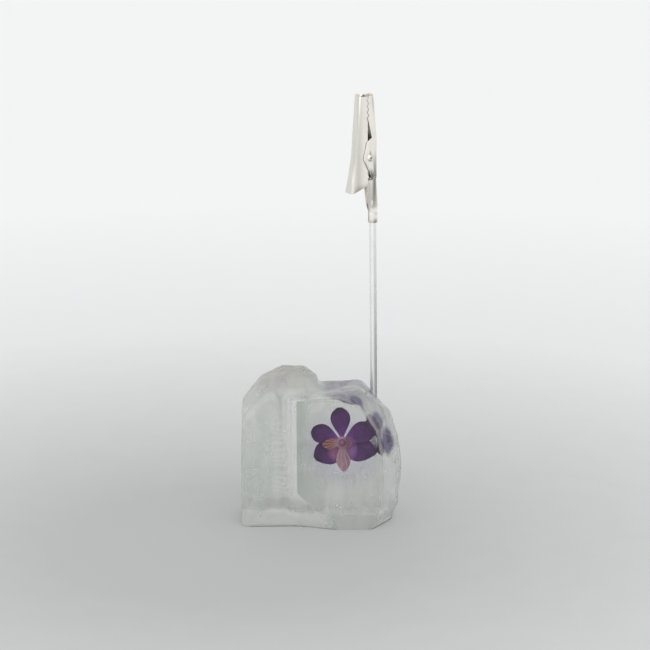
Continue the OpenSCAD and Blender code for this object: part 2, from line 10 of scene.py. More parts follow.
import bpy
from mathutils import Euler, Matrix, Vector


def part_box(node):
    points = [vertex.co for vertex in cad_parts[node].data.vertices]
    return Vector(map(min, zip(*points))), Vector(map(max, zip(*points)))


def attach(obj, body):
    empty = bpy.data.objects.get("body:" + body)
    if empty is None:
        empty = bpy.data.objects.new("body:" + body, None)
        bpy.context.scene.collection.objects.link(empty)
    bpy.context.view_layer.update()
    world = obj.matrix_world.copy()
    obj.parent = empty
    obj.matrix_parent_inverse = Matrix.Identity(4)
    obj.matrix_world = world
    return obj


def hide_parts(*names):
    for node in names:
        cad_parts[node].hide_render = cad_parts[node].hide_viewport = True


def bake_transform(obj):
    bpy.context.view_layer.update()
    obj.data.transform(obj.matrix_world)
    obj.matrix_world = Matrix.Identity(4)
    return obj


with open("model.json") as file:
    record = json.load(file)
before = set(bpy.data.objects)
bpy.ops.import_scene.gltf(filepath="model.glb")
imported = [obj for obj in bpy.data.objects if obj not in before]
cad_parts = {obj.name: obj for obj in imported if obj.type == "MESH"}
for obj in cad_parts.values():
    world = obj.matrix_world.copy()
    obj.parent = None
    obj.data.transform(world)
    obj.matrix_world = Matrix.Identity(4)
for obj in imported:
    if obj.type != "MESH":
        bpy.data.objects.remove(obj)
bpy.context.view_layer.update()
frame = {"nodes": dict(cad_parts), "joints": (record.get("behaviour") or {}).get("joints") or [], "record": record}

bl_info = {
    "name": "Memo Clip",
    "version": (1, 0, 0),
    "blender": (4, 5, 0),
    "location": "3D View > Sidebar > Memo Clip",
    "description": "Finishes a memo clip with an orchid in a cast resin lump",
    "category": "Object",
}

MM = 0.001
STAND = "stand"
LEVER = "lever"

# Places that the frame gives
ROD_LOW, ROD_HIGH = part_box("rod")
ROD_MIDDLE = (ROD_LOW + ROD_HIGH) / 2
GLUE_LOW, GLUE_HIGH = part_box("glue_sleeve")
HOLE_RADIUS = (GLUE_HIGH.x - GLUE_LOW.x) / 2
LUMP_LOW, LUMP_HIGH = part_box("resin_base")
COLUMN_LOW, COLUMN_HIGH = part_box("column")
FLOWER = (COLUMN_LOW + COLUMN_HIGH) / 2
PIVOT = Vector(frame["joints"][0]["pos_m"])


# Settings that a user would change

class LumpSettings(bpy.types.PropertyGroup):
    """Mesh, surface and tints of the cast lump and its glue, several of the tints painted light and shade."""

    mesh_size: bpy.props.FloatProperty(
        name="Mesh size", description="Edge length of the lump's mesh",
        default=0.42 * MM, unit="LENGTH")
    scoop_size: bpy.props.FloatProperty(
        name="Scoop size", description="Width of the shallow scoops on the sides and back",
        default=7.0 * MM, unit="LENGTH")
    scoop_depth: bpy.props.FloatProperty(
        name="Scoop depth", description="Depth of the shallow scoops",
        default=0.5 * MM, unit="LENGTH")
    ripple_size: bpy.props.FloatProperty(
        name="Ripple size", description="Width of the small ripples",
        default=2.2 * MM, unit="LENGTH")
    ripple_depth: bpy.props.FloatProperty(
        name="Ripple depth", description="Depth of the small ripples",
        default=0.22 * MM, unit="LENGTH")
    window_depth: bpy.props.FloatProperty(
        name="Window depth",
        description="How far behind the foremost plane the polished window ends",
        default=0.35 * MM, unit="LENGTH")
    window_tint: bpy.props.FloatVectorProperty(
        name="Window tint", description="Colour of the resin at the polished window",
        subtype="COLOR", size=3, default=(0.965, 0.97, 0.955), min=0.0, max=1.0)
    # Painted shade and painted glow on the window: darker where the lump is deep, lilac round the flower.
    deep_shade_tint: bpy.props.FloatVectorProperty(
        name="Deep tint", description="Colour of the window where the lump is deep",
        subtype="COLOR", size=3, default=(0.55, 0.585, 0.56), min=0.0, max=1.0)
    painted_glow_tint: bpy.props.FloatVectorProperty(
        name="Halo tint", description="Tint of the window in front of and round the flower",
        subtype="COLOR", size=3, default=(0.77, 0.72, 0.87), min=0.0, max=1.0)
    cast_tint: bpy.props.FloatVectorProperty(
        name="Cast tint", description="Colour of the resin at its cast sides",
        subtype="COLOR", size=3, default=(0.74, 0.765, 0.735), min=0.0, max=1.0)
    # Painted shade on the top of the lump: the hump's crown and the plateau.
    crown_shade_tint: bpy.props.FloatVectorProperty(
        name="Crown tint", description="Colour of the resin at the top of the hump",
        subtype="COLOR", size=3, default=(0.62, 0.61, 0.575), min=0.0, max=1.0)
    plateau_shade_tint: bpy.props.FloatVectorProperty(
        name="Plateau tint", description="Colour of the resin at the plateau",
        subtype="COLOR", size=3, default=(0.30, 0.29, 0.335), min=0.0, max=1.0)
    # Used for the painted highlight on the bevel, the painted light at the foot and the pale casting rungs.
    pale_and_highlight_tint: bpy.props.FloatVectorProperty(
        name="Bevel tint",
        description="Colour of the bevel to the left of the window, the foot and the rungs",
        subtype="COLOR", size=3, default=(0.84, 0.85, 0.84), min=0.0, max=1.0)
    # Painted light: the right side paler.
    lit_side_tint: bpy.props.FloatVectorProperty(
        name="Side tint", description="Colour of the resin at its right side",
        subtype="COLOR", size=3, default=(0.93, 0.945, 0.95), min=0.0, max=1.0)
    # Painted refraction: the flower's second image in the right bevel, added to the real refraction.
    painted_image_tint: bpy.props.FloatVectorProperty(
        name="Image tint", description="Colour of the flower's second image in the right bevel",
        subtype="COLOR", size=3, default=(0.145, 0.118, 0.225), min=0.0, max=1.0)
    # Also the colour of the painted shade at the ledge and at the right foot.
    underside_and_shade_tint: bpy.props.FloatVectorProperty(
        name="Underside tint", description="Colour of the ground underside and the shades near it",
        subtype="COLOR", size=3, default=(0.42, 0.43, 0.42), min=0.0, max=1.0)
    glue_tint: bpy.props.FloatVectorProperty(
        name="Glue tint", description="Colour of the cured glue round the rod",
        subtype="COLOR", size=3, default=(0.94, 0.935, 0.95), min=0.0, max=1.0)
    cast_clarity: bpy.props.FloatProperty(
        name="Cast clarity",
        description="Share of light that passes the cast sides, the rest is haze",
        default=0.7, subtype="FACTOR", min=0.0, max=1.0)


class FlowerSettings(bpy.types.PropertyGroup):
    """Mesh and colours of the dried orchid."""

    mesh_size: bpy.props.FloatProperty(
        name="Mesh size", description="Edge length of the organs' mesh",
        default=0.13 * MM, unit="LENGTH")
    ruffle_size: bpy.props.FloatProperty(
        name="Ruffle size", description="Width of the petals' waves",
        default=3.4 * MM, unit="LENGTH")
    ruffle_depth: bpy.props.FloatProperty(
        name="Ruffle depth", description="Height of the petals' waves",
        default=0.34 * MM, unit="LENGTH")
    heart: bpy.props.FloatVectorProperty(
        name="Heart", description="Petal colour near the middle",
        subtype="COLOR", size=3, default=(0.185, 0.041, 0.285), min=0.0, max=1.0)
    blade: bpy.props.FloatVectorProperty(
        name="Blade", description="Petal colour half way out",
        subtype="COLOR", size=3, default=(0.10, 0.0235, 0.14), min=0.0, max=1.0)
    rim: bpy.props.FloatVectorProperty(
        name="Rim", description="Petal colour at the rim",
        subtype="COLOR", size=3, default=(0.039, 0.013, 0.052), min=0.0, max=1.0)
    blush: bpy.props.FloatVectorProperty(
        name="Blush", description="Petal colour round the lip",
        subtype="COLOR", size=3, default=(0.49, 0.235, 0.56), min=0.0, max=1.0)
    lip: bpy.props.FloatVectorProperty(
        name="Lip", description="Colour of the lip",
        subtype="COLOR", size=3, default=(0.35, 0.207, 0.25), min=0.0, max=1.0)
    lip_stain: bpy.props.FloatVectorProperty(
        name="Lip stain", description="Colour of the lip's brown left lobe",
        subtype="COLOR", size=3, default=(0.24, 0.082, 0.082), min=0.0, max=1.0)
    # The right lobe's dark mauve is partly painted shade, where that lobe lies in shade.
    lip_shade: bpy.props.FloatVectorProperty(
        name="Lip shade", description="Colour of the lip's right lobe",
        subtype="COLOR", size=3, default=(0.18, 0.047, 0.158), min=0.0, max=1.0)
    column: bpy.props.FloatVectorProperty(
        name="Column", description="Colour of the column",
        subtype="COLOR", size=3, default=(0.295, 0.114, 0.205), min=0.0, max=1.0)


class MetalSettings(bpy.types.PropertyGroup):
    """Edges and colours of the metal pieces."""

    edge: bpy.props.FloatProperty(
        name="Edge rounding", description="Rounding of the stamped edges",
        default=0.055 * MM, unit="LENGTH")
    smooth_angle: bpy.props.FloatProperty(
        name="Smooth angle", description="Edges flatter than this are shaded smooth",
        default=math.radians(38), subtype="ANGLE")
    nickel: bpy.props.FloatVectorProperty(
        name="Nickel", description="Colour of the nickel plating",
        subtype="COLOR", size=3, default=(0.93, 0.905, 0.84), min=0.0, max=1.0)
    steel: bpy.props.FloatVectorProperty(
        name="Steel", description="Colour of the drawn rod",
        subtype="COLOR", size=3, default=(0.98, 0.98, 0.98), min=0.0, max=1.0)
    spring: bpy.props.FloatVectorProperty(
        name="Spring steel", description="Colour of the spring wire",
        subtype="COLOR", size=3, default=(0.40, 0.395, 0.39), min=0.0, max=1.0)


class StageSettings(bpy.types.PropertyGroup):
    """Floor, light and camera."""

    # Painted shade: the floor darker near the object, paler away from it.
    floor_near_shade: bpy.props.FloatVectorProperty(
        name="Floor near", description="Floor colour at the object",
        subtype="COLOR", size=3, default=(0.47, 0.48, 0.475), min=0.0, max=1.0)
    floor_mid_shade: bpy.props.FloatVectorProperty(
        name="Floor half way", description="Floor colour behind the object",
        subtype="COLOR", size=3, default=(0.76, 0.765, 0.765), min=0.0, max=1.0)
    floor_far: bpy.props.FloatVectorProperty(
        name="Floor far", description="Floor colour far from the object",
        subtype="COLOR", size=3, default=(0.875, 0.875, 0.875), min=0.0, max=1.0)
    ambient: bpy.props.FloatProperty(
        name="Ambient", description="Strength of the light from all round", default=0.72)
    dark_side: bpy.props.FloatProperty(
        name="Dark side", description="Brightness that metal mirrors from its right", default=0.5)
    key_strength: bpy.props.FloatProperty(
        name="Key lamp", description="Strength of the lamp at the front left", default=1.15)
    fill_strength: bpy.props.FloatProperty(
        name="Fill lamp", description="Strength of the lamp at the front right", default=0.35)
    elevation: bpy.props.FloatProperty(
        name="Elevation", description="Height angle of the camera",
        default=math.radians(15), subtype="ANGLE")
    roll: bpy.props.FloatProperty(
        name="Roll", description="Roll of the camera",
        default=math.radians(-0.5), subtype="ANGLE")
    distance: bpy.props.FloatProperty(
        name="Distance", description="Camera to the aim point", default=0.9, unit="LENGTH")
    frame_width: bpy.props.FloatProperty(
        name="Frame width", description="Width of the picture at the aim point",
        default=185.7 * MM, unit="LENGTH")
    aim: bpy.props.FloatVectorProperty(
        name="Aim", description="Point in the middle of the picture",
        subtype="XYZ", size=3, default=(1.44 * MM, 0.0, 57.97 * MM))


# Modelling helpers

MERGE_DISTANCE = 0.001 * MM


def pick(piece):
    """Selects one object alone and makes it active."""
    bpy.ops.object.select_all(action="DESELECT")
    piece.select_set(True)
    bpy.context.view_layer.objects.active = piece


def shape(piece, kind, **settings):
    """Adds a modifier and applies it."""
    modifier = piece.modifiers.new(kind.title(), kind)
    for name, value in settings.items():
        setattr(modifier, name, value)
    pick(piece)
    bpy.ops.object.modifier_apply(modifier=modifier.name)


def start_from(node, name):
    """A new piece from a merged copy of a CAD node's mesh."""
    piece = bpy.data.objects.new(name, frame["nodes"][node].data.copy())
    bpy.context.collection.objects.link(piece)
    piece.data.materials.clear()
    pick(piece)
    bpy.ops.object.mode_set(mode="EDIT")
    bpy.ops.mesh.customdata_custom_splitnormals_clear()
    bpy.ops.mesh.select_all(action="SELECT")
    bpy.ops.mesh.remove_doubles(threshold=MERGE_DISTANCE)
    bpy.ops.object.mode_set(mode="OBJECT")
    return piece


def coat(piece, material):
    """Makes a material the piece's only one."""
    piece.data.materials.clear()
    piece.data.materials.append(material)


def dress(piece, material, body, node):
    """Gives a piece its material and its place in the frame's table."""
    coat(piece, material)
    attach(piece, body)
    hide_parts(node)


def relief(name, kind, size, **settings):
    """A texture for a Displace modifier."""
    texture = bpy.data.textures.new(name, kind)
    texture.noise_scale = size
    for key, value in settings.items():
        setattr(texture, key, value)
    return texture


def eased(value, start, length):
    """How far a value has come along a stretch, from 0 to 1."""
    return min(1.0, max(0.0, (value - start) / length))


# Shader helpers

NOISE_SPAN = (0.3, 0.7)     # most values of a noise texture
PATCH_SPAN = (0.35, 0.7)    # the same, where the low ones count as none


def scaled(colour, share):
    """A colour at a share of its brightness."""
    return tuple(min(1.0, share * c) for c in colour)


def opaque(colour):
    """A colour with the alpha that a socket asks for."""
    return (*colour, 1.0)


def add(tree, kind, inputs=None, **settings):
    """One shader node. An input that is another node's socket is linked, and any other is set."""
    node = tree.nodes.new("ShaderNode" + kind)
    for name, value in settings.items():
        setattr(node, name, value)
    for name, value in (inputs or {}).items():
        if isinstance(value, bpy.types.NodeSocket):
            tree.links.new(value, node.inputs[name])
        else:
            node.inputs[name].default_value = value
    return node


def calc(tree, operation, *values):
    """The result of a Math node."""
    return add(tree, "Math", dict(enumerate(values)), operation=operation).outputs[0]


def product(tree, first, *others):
    """Values multiplied with each other."""
    for value in others:
        first = calc(tree, "MULTIPLY", first, value)
    return first


def distance(tree, value, middle):
    """How far a value is from a middle, on either side."""
    return calc(tree, "ABSOLUTE", calc(tree, "SUBTRACT", value, middle))


def vector(tree, operation, *values):
    """The result of a Vector Math node, which is a number for LENGTH."""
    node = add(tree, "VectorMath", dict(enumerate(values)), operation=operation)
    return node.outputs["Value" if operation == "LENGTH" else "Vector"]


def split(tree, value):
    """The X, Y and Z of a vector."""
    return add(tree, "SeparateXYZ", {0: value}).outputs


def noise(tree, place, scale, detail, roughness=0.5):
    """The value of a noise texture."""
    inputs = {"Vector": place, "Scale": scale, "Detail": detail, "Roughness": roughness}
    return add(tree, "TexNoise", inputs).outputs["Fac"]


def mix(tree, factor, first, second, blend="MIX"):
    """The result of mixing two colours."""
    inputs = {0: factor, 6: first, 7: second}
    return add(tree, "Mix", inputs, data_type="RGBA", blend_type=blend).outputs[2]


def ramp(tree, factor, *stops):
    """The colour of a ramp. Its stops are (place, colour), with the two ends first."""
    node = add(tree, "ValToRGB", {"Fac": factor})
    for index, (place, colour) in enumerate(stops):
        if index < 2:
            stop = node.color_ramp.elements[index]
            stop.position = place
        else:
            stop = node.color_ramp.elements.new(place)
        stop.color = opaque(colour)
    return node.outputs["Color"]


def spread(tree, value, low, high, to_low, to_high):
    """A value brought from one range to another. The fades below hold the last four."""
    inputs = {"Value": value, "From Min": low, "From Max": high, "To Min": to_low,
              "To Max": to_high}
    return add(tree, "MapRange", inputs).outputs["Result"]


def new_group(name, inputs, outputs):
    """An empty node group with its sockets, and the nodes at its two ends."""
    tree = bpy.data.node_groups.new(name, "ShaderNodeTree")
    for label, kind, default in inputs:
        socket = tree.interface.new_socket(label, in_out="INPUT", socket_type="NodeSocket" + kind)
        socket.default_value = default
    for label, kind in outputs:
        tree.interface.new_socket(label, in_out="OUTPUT", socket_type="NodeSocket" + kind)
    ends = tree.nodes.new("NodeGroupInput"), tree.nodes.new("NodeGroupOutput")
    return tree, ends[0].outputs, ends[1].inputs


def place_group(tree, group, inputs):
    """The outputs of a group placed in a material."""
    return add(tree, "Group", inputs, node_tree=group).outputs


def new_material(name):
    """A material with its tree, its Principled shader and Object coordinates."""
    material = bpy.data.materials.new(name)
    material.use_nodes = True
    tree = material.node_tree
    coords = add(tree, "TexCoord").outputs["Object"]
    return material, tree, tree.nodes["Principled BSDF"], coords


def finish_surface(tree, shader, base, rough):
    """Gives a shader its colour and its roughness."""
    tree.links.new(base, shader.inputs["Base Color"])
    tree.links.new(rough, shader.inputs["Roughness"])


def raise_bump(tree, shader, height, strength, depth):
    """Gives a shader the fine relief of a height."""
    node = add(tree, "Bump", {"Height": height, "Strength": strength, "Distance": depth})
    tree.links.new(node.outputs["Normal"], shader.inputs["Normal"])


def make_clear(tree, shader, ior, clarity):
    """Lets light through. Shadow rays pass too, so that lamps light what lies inside."""
    shader.inputs["IOR"].default_value = ior
    shader.inputs["Transmission Weight"].default_value = clarity
    shadow = add(tree, "LightPath").outputs["Is Shadow Ray"]
    clear = add(tree, "BsdfTransparent")
    both = add(tree, "MixShader", {0: shadow, 1: shader.outputs[0], 2: clear.outputs[0]})
    tree.links.new(both.outputs[0], tree.nodes["Material Output"].inputs["Surface"])


# Shared effects

VEIN_WAVER = 0.34               # radians
VEIN_WIDTH = (0.0, 0.45, 1.0, 0.0)
BUBBLE_SIZE = (0.05, 0.22, 1.0, 0.0)

# The flower's second image, a painted refraction added to the real one, in millimetres: each patch's middle, its
# half sizes, where 0 is no end, and the places along one axis at which it begins and is full
PAINTED_IMAGE_PATCHES = (
    ((10.2, -8.5, 0), (2.3, 1.8, 0), ("Z", 30, 33)),
    ((16.6, -6.2, 31.0), (2.7, 3.8, 3.2), ("X", 8, 10)),
    ((0, -4.9, 24.8), (0, 3.4, 4.2), ("X", 14, 16)),
)
IMAGE_DRIFT = 2.4 * MM
IMAGE_EDGE = (0.75, 1.2, 1.0, 0.0)


def scratch_group(name):
    """Fine lines along one direction, with softer wear patches."""
    tree, inputs, outputs = new_group(
        name,
        [("Vector", "Vector", (0, 0, 0)), ("Stretch", "Vector", (1, 1, 1)),
         ("Scale", "Float", 1000.0)],
        [("Lines", "Float"), ("Wear", "Float")])
    drawn = vector(tree, "MULTIPLY", inputs["Vector"], inputs["Stretch"])
    lines = noise(tree, drawn, inputs["Scale"], detail=5.0, roughness=0.65)
    wear = noise(tree, inputs["Vector"], scale=420.0, detail=4.0, roughness=0.6)
    tree.links.new(lines, outputs["Lines"])
    tree.links.new(spread(tree, wear, *PATCH_SPAN, 0.0, 1.0), outputs["Wear"])
    return tree


def vein_group(name):
    """Veins that fan out from the flower's middle, the distance from it, and dried blotches."""
    tree, inputs, outputs = new_group(
        name,
        [("Vector", "Vector", (0, 0, 0)), ("Centre", "Vector", (0, 0, 0)),
         ("Count", "Float", 26.0), ("Length", "Float", 10 * MM)],
        [("Veins", "Float"), ("Reach", "Float"), ("Blotch", "Float")])
    local = vector(tree, "SUBTRACT", inputs["Vector"], inputs["Centre"])
    parts = split(tree, local)
    waver = product(tree, noise(tree, local, scale=380.0, detail=3.0), VEIN_WAVER)
    angle = calc(tree, "ADD", calc(tree, "ARCTAN2", parts["Z"], parts["X"]), waver)
    wave = calc(tree, "ABSOLUTE", calc(tree, "SINE", product(tree, angle, inputs["Count"])))
    reach = calc(tree, "DIVIDE", vector(tree, "LENGTH", local), inputs["Length"])
    blotch = noise(tree, local, scale=520.0, detail=5.0, roughness=0.6)
    tree.links.new(spread(tree, wave, *VEIN_WIDTH), outputs["Veins"])
    tree.links.new(reach, outputs["Reach"])
    tree.links.new(blotch, outputs["Blotch"])
    return tree


def ripple_group(name):
    """Soft casting ripples of a cast surface, and tiny bubbles."""
    tree, inputs, outputs = new_group(
        name,
        [("Vector", "Vector", (0, 0, 0)), ("Scale", "Float", 300.0)],
        [("Ripples", "Float"), ("Bubbles", "Float")])
    ripples = noise(tree, inputs["Vector"], inputs["Scale"], detail=3.0)
    cells = add(tree, "TexVoronoi", {"Vector": inputs["Vector"], "Scale": 1100.0})
    tree.links.new(ripples, outputs["Ripples"])
    tree.links.new(spread(tree, cells.outputs["Distance"], *BUBBLE_SIZE), outputs["Bubbles"])
    return tree


def painted_image_group(name):
    """Where the flower's second image is painted, a painted refraction at the top and at the right of the window's
    bevel.
    """
    tree, inputs, outputs = new_group(
        name, [("Vector", "Vector", (0, 0, 0))], [("Share", "Float")])
    stir = add(tree, "TexNoise", {"Vector": inputs["Vector"], "Scale": 300.0, "Detail": 2.0})
    drift = vector(tree, "SUBTRACT", stir.outputs["Color"], (0.5, 0.5, 0.5))
    drift = vector(tree, "MULTIPLY", drift, (IMAGE_DRIFT,) * 3)
    place = vector(tree, "ADD", inputs["Vector"], drift)
    parts = split(tree, place)
    shares = []
    for centre, size, (axis, begin, full) in PAINTED_IMAGE_PATCHES:
        local = vector(tree, "SUBTRACT", place, [MM * c for c in centre])
        local = vector(tree, "MULTIPLY", local, [1 / (MM * s) if s else 0.0 for s in size])
        near = spread(tree, vector(tree, "LENGTH", local), *IMAGE_EDGE)
        beyond = spread(tree, parts[axis], begin * MM, full * MM, 0.0, 1.0)
        shares.append(product(tree, near, beyond))
    largest = calc(tree, "MAXIMUM", calc(tree, "MAXIMUM", shares[0], shares[1]), shares[2])
    tree.links.new(largest, outputs["Share"])
    return tree


EFFECTS = {
    "Fine Scratches": scratch_group, "Petal Veins": vein_group, "Cast Ripples": ripple_group,
    "Painted Second Image": painted_image_group,
}


def effect(name):
    """A shared effect, built when it is first asked for."""
    return bpy.data.node_groups.get(name) or EFFECTS[name](name)


# Metal

# The second and third values are painted shade: a band on the lever's back, and the crevices and gaps between
# parts.
WORN, BAND_SHADE, CREVICE_SHADE = 0.86, 0.72, 0.2     # brightness against clean metal
WEAR_SHARE, LINE_SHARE = 0.5, 0.25
WEAR_ROUGHNESS, LINE_ROUGHNESS = 0.04, 0.08
BUMP_METAL = {"strength": 0.06, "depth": 0.02 * MM}
SHADE_BAND_FADE = (0.2 * MM, 1.7 * MM, 1.0, 0.0)
CREVICE_REACH = 0.45 * MM
CREVICE_FADE = (0.25, 0.75, 0.85, 0.0)


def metal(name, colour, stretch, scale, roughness, shade_band=None):
    """Plated or drawn metal with fine lines and wear, painted shade in crevices and gaps, and an optional painted
    shade band.
    """
    material, tree, shader, coords = new_material(name)
    marks = place_group(tree, effect("Fine Scratches"),
                        {"Vector": coords, "Stretch": stretch, "Scale": scale})
    worn = opaque(scaled(colour, WORN))
    base = mix(tree, product(tree, marks["Wear"], WEAR_SHARE), opaque(colour), worn)
    base = mix(tree, product(tree, marks["Lines"], LINE_SHARE), base, worn)
    # Painted shade: a darker band along the lever's rounded back, standing in for a dull reflection.
    if shade_band is not None:
        near = spread(tree, distance(tree, split(tree, coords)["X"], shade_band), *SHADE_BAND_FADE)
        base = mix(tree, near, base, opaque(scaled(colour, BAND_SHADE)))
    # Painted shade: darker where ambient occlusion finds crevices and gaps between parts.
    light = add(tree, "AmbientOcclusion", {"Distance": CREVICE_REACH}, samples=8).outputs["AO"]
    crevice_shade = spread(tree, light, *CREVICE_FADE)
    base = mix(tree, crevice_shade, base, opaque(scaled(colour, CREVICE_SHADE)))
    lines = spread(tree, marks["Lines"], *NOISE_SPAN, roughness, roughness + LINE_ROUGHNESS)
    rough = calc(tree, "ADD", lines, product(tree, marks["Wear"], WEAR_ROUGHNESS))
    finish_surface(tree, shader, base, rough)
    raise_bump(tree, shader, marks["Lines"], **BUMP_METAL)
    shader.inputs["Metallic"].default_value = 1.0
    return material


# The flower's skins

HEART_END, BLADE_START, BLADE_END, RIM_START = 0.18, 0.52, 0.76, 0.97   # shares of the length
COLOUR_WAVER = 0.12
PETAL_ROUGHNESS, LIP_ROUGHNESS = (0.45, 0.7), (0.4, 0.6)
VEIN_TONE = 0.45                        # brightness against the blade
BLUSH_DROP = Vector((0, 0, 2.4 * MM))   # below the flower's middle
BLUSH_FADE = (3.0 * MM, 4.8 * MM, 1.0, 0.0)
BLUSH_LEFT = (1.1, 0.9, 0.7)            # share of each channel to the left of the lip
LIP_LENGTH = 8.6 * MM
LIP_VEINS = 15.0
LIP_PALE = 1.35                         # brightness of its blotches
LIP_WARM = (2.1, 2.3, 1.1)              # share of each channel along the veins
LIP_VEIN_SHARE = 0.85
STAIN_FADE = (-1.2 * MM, -3.0 * MM, 0.0, 1.0)
SHADE_FADE = (0.5 * MM, 1.5 * MM, 0.0, 1.0)
SHADE_FOOT = (-3.5 * MM, -1.5 * MM, 0.35, 1.0)


def tinted(colour, shares):
    """A colour with a share of each channel."""
    return tuple(share * c for share, c in zip(shares, colour))


def raise_veins(tree, shader, veins):
    """Gives a skin the relief of its veins."""
    raise_bump(tree, shader, veins, strength=0.5, depth=0.05 * MM)


def petal(name, colours, count, length, vein_share, blush=None):
    """A dried petal, coloured from the heart to the rim, with dark veins, paler beside the lip."""
    material, tree, shader, coords = new_material(name)
    marks = place_group(tree, effect("Petal Veins"),
                        {"Vector": coords, "Centre": FLOWER, "Count": count, "Length": length})
    heart, blade, rim = colours
    waver = spread(tree, marks["Blotch"], *NOISE_SPAN, -COLOUR_WAVER, COLOUR_WAVER)
    base = ramp(tree, calc(tree, "ADD", marks["Reach"], waver), (HEART_END, heart),
                (RIM_START, rim), (BLADE_START, blade), (BLADE_END, blade))
    if blush:
        local = vector(tree, "SUBTRACT", coords, FLOWER - BLUSH_DROP)
        right = spread(tree, split(tree, local)["X"], -MM, MM, 0.0, 1.0)
        tone = mix(tree, right, opaque(tinted(blush, BLUSH_LEFT)), opaque(blush))
        base = mix(tree, spread(tree, vector(tree, "LENGTH", local), *BLUSH_FADE), base, tone)
    dark = opaque(scaled(blade, VEIN_TONE))
    base = mix(tree, product(tree, marks["Veins"], vein_share), base, dark)
    finish_surface(tree, shader, base, spread(tree, marks["Blotch"], *NOISE_SPAN, *PETAL_ROUGHNESS))
    raise_veins(tree, shader, marks["Veins"])
    return material


def lip_skin(name, colour, stain, shade):
    """The lip's skin: pink with warm veins, a brown left lobe and a dark right one, whose darkness is partly
    painted shade.
    """
    material, tree, shader, coords = new_material(name)
    marks = place_group(
        tree, effect("Petal Veins"),
        {"Vector": coords, "Centre": FLOWER, "Count": LIP_VEINS, "Length": LIP_LENGTH})
    base = ramp(tree, marks["Blotch"], (0.36, colour), (0.66, scaled(colour, LIP_PALE)))
    local = split(tree, vector(tree, "SUBTRACT", coords, FLOWER))
    base = mix(tree, spread(tree, local["X"], *STAIN_FADE), base, opaque(stain))
    # Partly painted shade on the right lobe, lighter towards its foot.
    right = product(tree, spread(tree, local["X"], *SHADE_FADE),
                    spread(tree, local["Z"], *SHADE_FOOT))
    base = mix(tree, right, base, opaque(shade))
    warm = opaque(tinted(colour, LIP_WARM))
    base = mix(tree, product(tree, marks["Veins"], LIP_VEIN_SHARE), base, warm)
    finish_surface(tree, shader, base, spread(tree, marks["Blotch"], *NOISE_SPAN, *LIP_ROUGHNESS))
    raise_veins(tree, shader, marks["Veins"])
    return material


# Resin and glue. A fade is where it starts and ends, and the shares that it has there

RESIN_IOR = 1.5
RESIN_RIPPLES = 260.0
GLUE_IOR = 1.02
GLUE_CLARITY = 0.85
GLUE_RIPPLES = 500.0
WINDOW_ROUGHNESS, CAST_ROUGHNESS = (0.006, 0.03), (0.12, 0.3)
GROUND_ROUGHNESS, GLUE_ROUGHNESS = (0.55, 0.75), (0.12, 0.4)
GROUND_PALE, GLUE_PALE = 1.15, 1.05                 # brightness of their paler places
GRINDING = {"Stretch": (0.1, 1, 1), "Scale": 1600.0}

# Where the window's painted shade and the flower's painted glow fade.
WINDOW_DEEP = (-6 * MM, 3 * MM, 0.0, 1.0)           # across
PAINTED_GLOW_FADE = (8 * MM, 13 * MM, 1.0, 0.0)             # from the flower's middle

STREAK_TONE = 0.86                                  # brightness against the cast tint
STREAK_STRETCH = (1, 1, 0.15)
# Where the painted shade on the top lies and fades.
ON_PLATEAU = (-1 * MM, 2 * MM, 0.0, 1.0)            # across
ON_HUMP = (-1 * MM, 2 * MM, 1.0, 0.0)               # across
CROWN_PALES = (-7 * MM, -2 * MM, 0.0, 0.7)          # across
PLATEAU_PALES = (8 * MM, 12 * MM, 0.0, 0.4)         # across
TOP_WAVER = 0.05                                    # share of the lump's height
TOP_START = (0.0, 1.0, 0.74, 0.76)                  # height on the hump and on the plateau
TOP_FULL = (0.0, 1.0, 0.92, 0.84)                   # height on the hump and on the plateau
TOP_BEHIND = (-9 * MM, -6.5 * MM, 0.2, 1.0)         # from the front to the back

BAND_WAVER = 0.9 * MM
AT_FRONT = (-6 * MM, -5 * MM, 1.0, 0.0)             # from the front to the back
# Painted light on the foot and painted shade at the ledge, left of the window.
PALE_FOOT = (5.2 * MM, 4.4 * MM, 0.0, 0.9)          # downwards
LEDGE_HEIGHT = 6.8 * MM
LEDGE_FADE = (0.8 * MM, 2.2 * MM, 0.65, 0.0)        # up and down from the ledge
LEDGE_ACROSS = (-17 * MM, -12 * MM, 0.3, 1.0)
SHADY_ACROSS = (2 * MM, 12 * MM, 0.0, 0.3)
SHADY_FOOT = (1 * MM, 9 * MM, 1.0, 0.0)             # upwards

RUNG_PITCH = 1.6 * MM
RUNG_FADE = (0.0, 1.0, 0.0, 0.5)                    # of the wave
LADDER_X, LADDER_Z = -11.5 * MM, 20 * MM            # its middle
LADDER_ACROSS = (2.0 * MM, 3.2 * MM, 1.0, 0.0)      # from its middle
LADDER_UP = (8 * MM, 12 * MM, 1.0, 0.0)             # from its middle

# Painted light on the right side.
RIGHT_ACROSS = (15.5 * MM, 19 * MM, 0.0, 1.0)
RIGHT_UP = (20 * MM, 26 * MM, 1.0, 0.3)
# Where the painted highlight on the left bevel lies.
BEVEL_LEFT = (-10.0 * MM, -9.2 * MM, 0.0, 1.0)      # across
BEVEL_RIGHT = (-7 * MM, -5 * MM, 1.0, 0.0)          # across
BEVEL_FRONT = (-6.8 * MM, -7.4 * MM, 0.0, 1.0)      # towards the front
BEVEL_UP = (7 * MM, 13 * MM, 0.0, 1.0)


def paint_second_image(tree, base, coords, tint):
    """Paints the flower's second image, a painted refraction, onto a colour."""
    share = place_group(tree, effect("Painted Second Image"), {"Vector": coords})["Share"]
    return mix(tree, share, base, opaque(tint))


